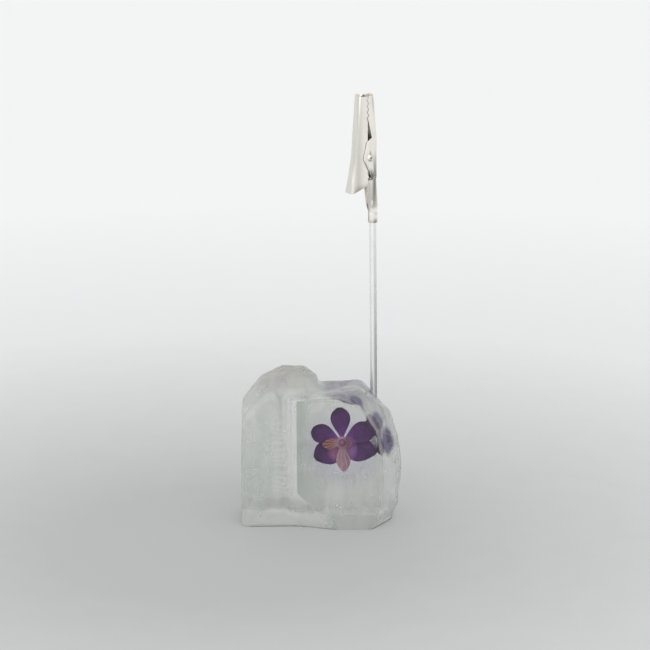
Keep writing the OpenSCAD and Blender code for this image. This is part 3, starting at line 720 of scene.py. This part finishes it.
def polished_resin(name, given):
    """Clear resin, polished to hardly visible waves, with painted shade where the lump is deep and a painted lilac
    glow of the flower round it.
    """
    material, tree, shader, coords = new_material(name)
    marks = place_group(tree, effect("Cast Ripples"), {"Vector": coords, "Scale": RESIN_RIPPLES})
    # Painted shade: darker towards the left, where the lump is deep.
    clear = spread(tree, split(tree, coords)["X"], *WINDOW_DEEP)
    base = mix(tree, clear, opaque(given.deep_shade_tint), opaque(given.window_tint))
    # Painted glow: lilac round the flower.
    level = vector(tree, "MULTIPLY", vector(tree, "SUBTRACT", coords, FLOWER), (1, 0, 1))
    near = spread(tree, vector(tree, "LENGTH", level), *PAINTED_GLOW_FADE)
    base = mix(tree, near, base, opaque(given.painted_glow_tint), "MULTIPLY")
    base = paint_second_image(tree, base, coords, given.painted_image_tint)
    rough = spread(tree, marks["Ripples"], *PATCH_SPAN, *WINDOW_ROUGHNESS)
    finish_surface(tree, shader, base, rough)
    raise_bump(tree, shader, marks["Ripples"], strength=0.05, depth=0.2 * MM)
    make_clear(tree, shader, RESIN_IOR, 1.0)
    return material


def paint_top_shade(tree, base, parts, ripples, given):
    """Paints shade on the top: the hump's crown to the left and the plateau to the right."""
    side = spread(tree, parts["X"], *ON_PLATEAU)
    crown = mix(tree, spread(tree, parts["X"], *CROWN_PALES),
                opaque(given.crown_shade_tint), opaque(given.cast_tint))
    plateau = mix(tree, spread(tree, parts["X"], *PLATEAU_PALES),
                  opaque(given.plateau_shade_tint), opaque(given.cast_tint))
    height = calc(tree, "ADD", calc(tree, "DIVIDE", parts["Z"], LUMP_HIGH.z),
                  spread(tree, ripples, *NOISE_SPAN, -TOP_WAVER, TOP_WAVER))
    start, full = spread(tree, side, *TOP_START), spread(tree, side, *TOP_FULL)
    above = product(tree, spread(tree, height, start, full, 0.0, 1.0),
                    spread(tree, parts["Y"], *TOP_BEHIND))
    return mix(tree, above, base, mix(tree, side, crown, plateau))


def paint_left_front(tree, base, parts, band, given):
    """Paints what the front shows left of the window: a pale foot that is painted light, a dark ledge that is
    painted shade, and pale casting rungs.
    """
    front = product(tree, spread(tree, parts["X"], *ON_HUMP), spread(tree, parts["Y"], *AT_FRONT))
    pale = product(tree, spread(tree, band, *PALE_FOOT), front)
    base = mix(tree, pale, base, opaque(given.pale_and_highlight_tint))
    ledge = product(tree, spread(tree, distance(tree, band, LEDGE_HEIGHT), *LEDGE_FADE),
                    spread(tree, parts["X"], *LEDGE_ACROSS), front)
    base = mix(tree, ledge, base, opaque(given.underside_and_shade_tint))
    wave = calc(tree, "SINE", product(tree, band, 2 * math.pi / RUNG_PITCH))
    rungs = product(tree, spread(tree, distance(tree, parts["X"], LADDER_X), *LADDER_ACROSS),
                    spread(tree, distance(tree, parts["Z"], LADDER_Z), *LADDER_UP),
                    front, spread(tree, wave, *RUNG_FADE))
    return mix(tree, rungs, base, opaque(given.pale_and_highlight_tint))


def paint_right_side_light(tree, base, parts, band, given):
    """Paints light on the right side and shade at its foot."""
    right = product(tree, spread(tree, parts["X"], *RIGHT_ACROSS),
                    spread(tree, parts["Z"], *RIGHT_UP))
    base = mix(tree, right, base, opaque(given.lit_side_tint))
    shady = product(tree, spread(tree, parts["X"], *SHADY_ACROSS), spread(tree, band, *SHADY_FOOT))
    return mix(tree, shady, base, opaque(given.underside_and_shade_tint))


def paint_left_bevel_highlight(tree, base, parts, given):
    """Paints a highlight on the bevel to the left of the window."""
    bevel = product(tree, spread(tree, parts["X"], *BEVEL_LEFT),
                    spread(tree, parts["Y"], *BEVEL_FRONT),
                    spread(tree, parts["X"], *BEVEL_RIGHT), spread(tree, parts["Z"], *BEVEL_UP))
    return mix(tree, bevel, base, opaque(given.pale_and_highlight_tint))


def cast_resin(name, given):
    """Resin as the mould left it: hazy and streaked, with painted shade and painted light in darker and paler
    zones, a painted highlight and the painted second image.
    """
    material, tree, shader, coords = new_material(name)
    ripples = place_group(tree, effect("Cast Ripples"),
                          {"Vector": coords, "Scale": RESIN_RIPPLES})["Ripples"]
    parts = split(tree, coords)
    waver = spread(tree, ripples, *NOISE_SPAN, -BAND_WAVER, BAND_WAVER)
    band = calc(tree, "ADD", parts["Z"], waver)
    upright = vector(tree, "MULTIPLY", coords, STREAK_STRETCH)
    flow = noise(tree, upright, scale=330.0, detail=3.0)
    base = ramp(tree, flow, (0.36, scaled(given.cast_tint, STREAK_TONE)), (0.62, given.cast_tint))
    base = paint_top_shade(tree, base, parts, ripples, given)
    base = paint_left_front(tree, base, parts, band, given)
    base = paint_right_side_light(tree, base, parts, band, given)
    base = paint_left_bevel_highlight(tree, base, parts, given)
    base = paint_second_image(tree, base, coords, given.painted_image_tint)
    finish_surface(tree, shader, base, spread(tree, ripples, *PATCH_SPAN, *CAST_ROUGHNESS))
    raise_bump(tree, shader, ripples, strength=0.15, depth=0.4 * MM)
    make_clear(tree, shader, RESIN_IOR, given.cast_clarity)
    return material


def ground_resin(name, tint):
    """The matt underside, ground flat in one direction. Its grey partly stands for the shaded desk under it,
    painted shade.
    """
    material, tree, shader, coords = new_material(name)
    marks = place_group(tree, effect("Fine Scratches"), {"Vector": coords, **GRINDING})
    base = ramp(tree, marks["Lines"], (0.35, tint), (0.65, scaled(tint, GROUND_PALE)))
    finish_surface(tree, shader, base, spread(tree, marks["Wear"], 0.0, 1.0, *GROUND_ROUGHNESS))
    raise_bump(tree, shader, marks["Lines"], strength=0.2, depth=0.05 * MM)
    return material


def cured_glue(name, tint):
    """Clear glue that fills the gap round the rod, with a few small bubbles."""
    material, tree, shader, coords = new_material(name)
    marks = place_group(tree, effect("Cast Ripples"), {"Vector": coords, "Scale": GLUE_RIPPLES})
    base = ramp(tree, marks["Ripples"], (0.4, tint), (0.6, scaled(tint, GLUE_PALE)))
    finish_surface(tree, shader, base, spread(tree, marks["Bubbles"], 0.0, 1.0, *GLUE_ROUGHNESS))
    make_clear(tree, shader, GLUE_IOR, GLUE_CLARITY)
    return material


# The lump

SOFT_EDGES = {"factor": 0.5, "iterations": 6, "vertex_group": "lifted"}
HOLE_MARGIN = 0.02 * MM
MOULDED_BEHIND, MOULDED_LENGTH = 0.3 * MM, 1.5 * MM     # from the window
MOULDED_ABOVE, MOULDED_HEIGHT = 0.2 * MM, 3 * MM        # from the underside
LIFTED_ABOVE, LIFTED_HEIGHT = 0.1 * MM, 0.8 * MM        # from the underside
WINDOW_LEFT = -7 * MM
WINDOW_FOOT = 6.6 * MM
FOOT_WAVE, FOOT_WAVE_LENGTH = 0.5 * MM, 1.7 * MM
UNDERSIDE_HEIGHT = 0.8 * MM
FACING = -0.5       # a face looks to the front, or down, where its normal is below this


def keep_outer_shell(piece):
    """Takes away the hollows that hold the flower, which the resin fills."""
    name = piece.name
    pick(piece)
    bpy.ops.object.mode_set(mode="EDIT")
    bpy.ops.mesh.select_all(action="SELECT")
    bpy.ops.mesh.separate(type="LOOSE")
    bpy.ops.object.mode_set(mode="OBJECT")
    shells = sorted(bpy.context.selected_objects, key=lambda shell: shell.dimensions.length)
    outer = shells.pop()
    for shell in shells:
        bpy.data.objects.remove(shell)
    outer.name = name
    return outer


def plug_rod_hole(piece):
    """Closes the bore, because the rod and its glue fill it."""
    reach = HOLE_RADIUS + HOLE_MARGIN
    inside = [math.hypot(v.co.x - ROD_MIDDLE.x, v.co.y - ROD_MIDDLE.y) < reach
              for v in piece.data.vertices]
    pick(piece)
    for face in piece.data.polygons:
        face.select = all(inside[i] for i in face.vertices)
    bpy.ops.object.mode_set(mode="EDIT")
    bpy.ops.mesh.select_mode(type="FACE")
    bpy.ops.mesh.delete(type="FACE")
    bpy.ops.mesh.select_mode(type="EDGE")
    bpy.ops.mesh.select_all(action="DESELECT")
    bpy.ops.mesh.select_non_manifold(extend=False)
    bpy.ops.mesh.edge_face_add()
    bpy.ops.object.mode_set(mode="OBJECT")


def moulded_share(piece):
    """A vertex group: 1 on the moulded sides and back, 0 on the front window and the underside."""
    group = piece.vertex_groups.new(name="moulded")
    for v in piece.data.vertices:
        share = eased(v.co.y - LUMP_LOW.y, MOULDED_BEHIND, MOULDED_LENGTH)
        lift = eased(v.co.z, MOULDED_ABOVE, MOULDED_HEIGHT)
        group.add([v.index], share * lift, "REPLACE")


def lifted_share(piece):
    """A vertex group that is 0 on the underside, whose edge stays crisp, and 1 above it."""
    group = piece.vertex_groups.new(name="lifted")
    for v in piece.data.vertices:
        group.add([v.index], eased(v.co.z, LIFTED_ABOVE, LIFTED_HEIGHT), "REPLACE")


def part_faces(piece, depth):
    """Gives the front window the piece's second material, and the underside its third."""
    for face in piece.data.polygons:
        foot = WINDOW_FOOT + FOOT_WAVE * math.sin(face.center.x / FOOT_WAVE_LENGTH)
        flat = face.center.y < LUMP_LOW.y + depth and face.normal.y < FACING
        window = flat and face.center.x > WINDOW_LEFT and face.center.z > foot
        under = face.center.z < LUMP_LOW.z + UNDERSIDE_HEIGHT and face.normal.z < FACING
        face.material_index = 2 if under else int(window)


class MEMO_OT_cast_lump(bpy.types.Operator):
    """Casts the lump of clear resin round the flower and the rod"""

    bl_idname = "memo.cast_lump"
    bl_label = "Cast Lump"

    def execute(self, context):
        given = context.scene.memo_lump
        lump = keep_outer_shell(start_from("resin_base", "cast_resin_lump"))
        plug_rod_hole(lump)
        shape(lump, "REMESH", mode="VOXEL", voxel_size=given.mesh_size)
        lifted_share(lump)
        shape(lump, "SMOOTH", **SOFT_EDGES)
        moulded_share(lump)
        scoops = relief("scoops", "VORONOI", given.scoop_size, distance_metric="DISTANCE_SQUARED")
        ripples = relief("ripples", "CLOUDS", given.ripple_size, noise_depth=2)
        for texture, depth in ((scoops, given.scoop_depth), (ripples, given.ripple_depth)):
            shape(lump, "DISPLACE", texture=texture, texture_coords="LOCAL", mid_level=0.0,
                  strength=-depth, vertex_group="moulded")
        shape(lump, "SMOOTH", **SOFT_EDGES)
        bpy.ops.object.shade_smooth()
        dress(lump, cast_resin("cast_resin", given), STAND, "resin_base")
        lump.data.materials.append(polished_resin("polished_resin", given))
        lump.data.materials.append(ground_resin("ground_resin", given.underside_and_shade_tint))
        part_faces(lump, given.window_depth)
        coat(frame["nodes"]["glue_sleeve"], cured_glue("cured_glue", given.glue_tint))
        return {"FINISHED"}


# The flower

class MEMO_OT_press_flower(bpy.types.Operator):
    """Makes the organs of the dried orchid"""

    bl_idname = "memo.press_flower"
    bl_label = "Press Flower"

    def execute(self, context):
        given = context.scene.memo_flower
        colours = (given.heart, given.blade, given.rim)
        skins = {
            "sepal": petal("dried_sepal", colours, count=24.0, length=10.0 * MM, vein_share=0.6,
                           blush=given.blush),
            "petal": petal("dried_petal", colours, count=30.0, length=9.5 * MM, vein_share=0.5,
                           blush=given.blush),
            "lip": lip_skin("dried_lip", given.lip, given.lip_stain, given.lip_shade),
            "column": petal("dried_column", (given.column,) * 3, count=8.0, length=2.0 * MM,
                            vein_share=0.3),
        }
        ruffles = relief("ruffles", "CLOUDS", given.ruffle_size, noise_depth=1)
        for row in frame["record"]["subparts"]:
            node, slot = row["node"], row["material_slot"]
            if slot not in skins:
                continue
            organ = start_from(node, "orchid_" + node)
            shape(organ, "REMESH", mode="VOXEL", voxel_size=given.mesh_size)
            shape(organ, "SMOOTH", factor=0.5, iterations=2)
            shape(organ, "DISPLACE", texture=ruffles, texture_coords="LOCAL", direction="Y",
                  mid_level=0.5, strength=given.ruffle_depth)
            bpy.ops.object.shade_smooth()
            dress(organ, skins[slot], STAND, node)
        return {"FINISHED"}


# The metal pieces

GRAIN = {"stretch": (1, 1, 0.25), "scale": 2400.0, "roughness": 0.14}
# Where the painted shade band on the lever lies.
LEVER_SHADE_BAND = PIVOT.x - 2.4 * MM
FLAT_ANGLE = math.radians(1)


class MEMO_OT_plate_clip(bpy.types.Operator):
    """Rounds the stamped edges of the clip and gives it and the rod their finish, with painted shade in crevices
    and a painted shade band on the lever
    """

    bl_idname = "memo.plate_clip"
    bl_label = "Plate Clip"

    def execute(self, context):
        given = context.scene.memo_metal
        nickel = metal("nickel_plate", given.nickel, **GRAIN)
        banded_nickel = metal("nickel_painted_band", given.nickel, **GRAIN, shade_band=LEVER_SHADE_BAND)
        rivet = metal("rivet_nickel", given.nickel, stretch=(1, 1, 1), scale=3200.0, roughness=0.24)
        stampings = {
            "clip_body": (nickel, STAND, "nickel"),
            "lever_jaw": (banded_nickel, LEVER, "nickel"),
            "pivot_rivet": (rivet, STAND, "rivet_metal"),
        }
        for node, (material, body, slot) in stampings.items():
            piece = start_from(node, "plated_" + node)
            bpy.ops.object.mode_set(mode="EDIT")
            bpy.ops.mesh.select_all(action="SELECT")
            bpy.ops.mesh.dissolve_limited(angle_limit=FLAT_ANGLE)
            bpy.ops.object.mode_set(mode="OBJECT")
            shape(piece, "BEVEL", width=given.edge, segments=2, limit_method="ANGLE",
                  angle_limit=given.smooth_angle)
            bpy.ops.object.shade_smooth_by_angle(angle=given.smooth_angle)
            dress(piece, material, body, node)
        drawn = metal("drawn_steel", given.steel, stretch=(1, 1, 0.02), scale=3000.0, roughness=0.2)
        coat(frame["nodes"]["rod"], drawn)
        return {"FINISHED"}


class MEMO_OT_wind_spring(bpy.types.Operator):
    """Rounds the spring's wire and gives it spring steel"""

    bl_idname = "memo.wind_spring"
    bl_label = "Wind Spring"

    def execute(self, context):
        given = context.scene.memo_metal
        wire = start_from("torsion_spring", "wound_torsion_spring")
        shape(wire, "SUBSURF", levels=2, render_levels=2)
        bpy.ops.object.shade_smooth()
        coat(wire, metal("spring_steel", given.spring, stretch=(1, 1, 1), scale=2600.0,
                         roughness=0.28))
        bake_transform(wire)
        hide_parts("torsion_spring")
        return {"FINISHED"}


# The stage

FLOOR_RADIUS = 4.0
FLOOR_DROP = 0.05 * MM                      # below the underside
# The painted shade on the floor is darkest round FLOOR_MIDDLE and fades out towards FAR_START.
FLOOR_MIDDLE = (-25 * MM, -20 * MM, 0)      # where the near colour lies
NEAR_END, HALF_WAY, FAR_START = 0.05, 0.23, 0.43    # from the middle
SPECK_WAVER = 4 * MM
# What metal mirrors of the floor is painted: the far colour and dark corners, a painted reflection.
MIRROR_START = (0.12, 0.2, 0.0, 1.0)        # from the middle, where metal mirrors the far colour
PAINTED_REFLECTION_DARK = (0.1, 0.1, 0.1)
CORNER_TURN = (0.0, math.radians(44), 0.0, 1.0)
CORNER_FADE = (0.16, 0.29, 0.85, 0.3)       # from the rod
CORNER_END = (0.322, 0.332, 1.0, 0.1)       # from the rod
LEFT_TURN = (math.radians(-50), math.radians(-80), 0.0, 0.22)
ROOM_COLOUR = (0.98, 0.985, 0.99)
ROOM_SIDES = (-0.1, 0.9)                    # from left to right
ROOM_BRIGHT = 0.98                          # what metal mirrors from the left
KEY_FROM, FILL_FROM = (-0.5, -0.55, 0.8), (0.7, -0.6, 0.6)
LAMP_SOFTNESS = math.radians(80)
SENSOR_WIDTH = 36.0


def shaded_floor(name, near, middle, far):
    """A floor with painted shade near the object, paler away from it. What metal mirrors of it is the far colour
    with painted dark corners, a painted reflection.
    """
    material, tree, shader, coords = new_material(name)
    speck = spread(tree, noise(tree, coords, scale=90.0, detail=4.0), *NOISE_SPAN,
                   -SPECK_WAVER, SPECK_WAVER)
    shifted = vector(tree, "SUBTRACT", coords, FLOOR_MIDDLE)
    reach = calc(tree, "ADD", vector(tree, "LENGTH", shifted), speck)
    base = ramp(tree, reach, (NEAR_END, near), (FAR_START, far), (HALF_WAY, middle))
    local = vector(tree, "SUBTRACT", coords, (ROD_MIDDLE.x, ROD_MIDDLE.y, 0))
    parts = split(tree, local)
    turn = calc(tree, "ARCTAN2", parts["X"], product(tree, parts["Y"], -1.0))
    away = vector(tree, "LENGTH", local)
    # Painted reflection: dark corners that only glossy reflections see.
    right = product(tree, spread(tree, turn, *CORNER_TURN), spread(tree, away, *CORNER_FADE),
                    spread(tree, away, *CORNER_END))
    dark = calc(tree, "MAXIMUM", right, spread(tree, turn, *LEFT_TURN))
    mirrored = mix(tree, spread(tree, reach, *MIRROR_START), base, opaque(far))
    mirrored = mix(tree, dark, mirrored, opaque(PAINTED_REFLECTION_DARK))
    seen = add(tree, "LightPath").outputs
    in_metal = product(tree, seen["Is Glossy Ray"], seen["Is Reflection Ray"])
    tree.links.new(mix(tree, in_metal, base, mirrored), shader.inputs["Base Color"])
    shader.inputs["Roughness"].default_value = 0.7
    shader.inputs["Specular IOR Level"].default_value = 0.2
    return material


def soft_room(name, ambient, dark_side):
    """A world of even light. What metal mirrors of it gets darker to the right."""
    world = bpy.data.worlds.new(name)
    world.use_nodes = True
    tree = world.node_tree
    across = split(tree, add(tree, "TexCoord").outputs["Generated"])["X"]
    mirrored = spread(tree, across, *ROOM_SIDES, ROOM_BRIGHT, dark_side)
    in_metal = add(tree, "LightPath").outputs["Is Glossy Ray"]
    strength = add(tree, "Mix", {0: in_metal, 2: ambient, 3: mirrored}, data_type="FLOAT")
    background = tree.nodes["Background"]
    background.inputs["Color"].default_value = opaque(ROOM_COLOUR)
    tree.links.new(strength.outputs[0], background.inputs["Strength"])
    return world


def lamp(name, direction, strength):
    """A soft lamp far away, whose light comes from one direction."""
    light = bpy.data.lights.new(name, "SUN")
    light.energy = strength
    light.angle = LAMP_SOFTNESS
    holder = bpy.data.objects.new(name, light)
    holder.rotation_euler = Vector(direction).to_track_quat("Z", "Y").to_euler()
    bpy.context.collection.objects.link(holder)


def aimed_camera(given):
    """The camera, in front of the object, raised and rolled a little."""
    camera = bpy.data.cameras.new("camera")
    camera.sensor_width = SENSOR_WIDTH
    camera.lens = SENSOR_WIDTH * given.distance / given.frame_width
    camera.clip_start = 10 * MM
    holder = bpy.data.objects.new("camera", camera)
    back = Vector((0, -math.cos(given.elevation), math.sin(given.elevation)))
    holder.location = Vector(given.aim) + given.distance * back
    look = (-back).to_track_quat("-Z", "Y").to_matrix()
    holder.rotation_euler = (look @ Euler((0, 0, given.roll)).to_matrix()).to_euler()
    bpy.context.collection.objects.link(holder)
    return holder


class MEMO_OT_set_stage(bpy.types.Operator):
    """Sets the pale floor, the soft lamps and the camera"""

    bl_idname = "memo.set_stage"
    bl_label = "Set Stage"

    def execute(self, context):
        scene = context.scene
        given = scene.memo_stage
        bpy.ops.object.select_all(action="DESELECT")
        bpy.ops.mesh.primitive_circle_add(vertices=128, radius=FLOOR_RADIUS, fill_type="NGON",
                                          location=(0, 0, -FLOOR_DROP))
        floor = context.active_object
        floor.name = "floor"
        coat(floor, shaded_floor("shaded_floor", given.floor_near_shade, given.floor_mid_shade, given.floor_far))
        scene.world = soft_room("soft_room", given.ambient, given.dark_side)
        lamp("key_lamp", KEY_FROM, given.key_strength)
        lamp("fill_lamp", FILL_FROM, given.fill_strength)
        scene.camera = aimed_camera(given)
        scene.view_settings.view_transform = "Standard"
        return {"FINISHED"}


class MEMO_PT_panel(bpy.types.Panel):
    """Lists the steps in the order in which they are made"""

    bl_idname = "MEMO_PT_panel"
    bl_label = "Memo Clip"
    bl_space_type = "VIEW_3D"
    bl_region_type = "UI"
    bl_category = "Memo Clip"

    def draw(self, context):
        for step in STEPS:
            self.layout.operator(step.bl_idname)


STEPS = (
    MEMO_OT_cast_lump, MEMO_OT_press_flower, MEMO_OT_plate_clip, MEMO_OT_wind_spring,
    MEMO_OT_set_stage,
)
SETTINGS = {
    "memo_lump": LumpSettings, "memo_flower": FlowerSettings, "memo_metal": MetalSettings,
    "memo_stage": StageSettings,
}
CLASSES = (*SETTINGS.values(), *STEPS, MEMO_PT_panel)


def register():
    for cls in CLASSES:
        bpy.utils.register_class(cls)
    for name, cls in SETTINGS.items():
        setattr(bpy.types.Scene, name, bpy.props.PointerProperty(type=cls))


def unregister():
    for name in SETTINGS:
        delattr(bpy.types.Scene, name)
    for cls in reversed(CLASSES):
        bpy.utils.unregister_class(cls)


def main():
    register()
    bpy.ops.memo.cast_lump()
    bpy.ops.memo.press_flower()
    bpy.ops.memo.plate_clip()
    bpy.ops.memo.wind_spring()
    bpy.ops.memo.set_stage()


if __name__ == "__main__":
    main()
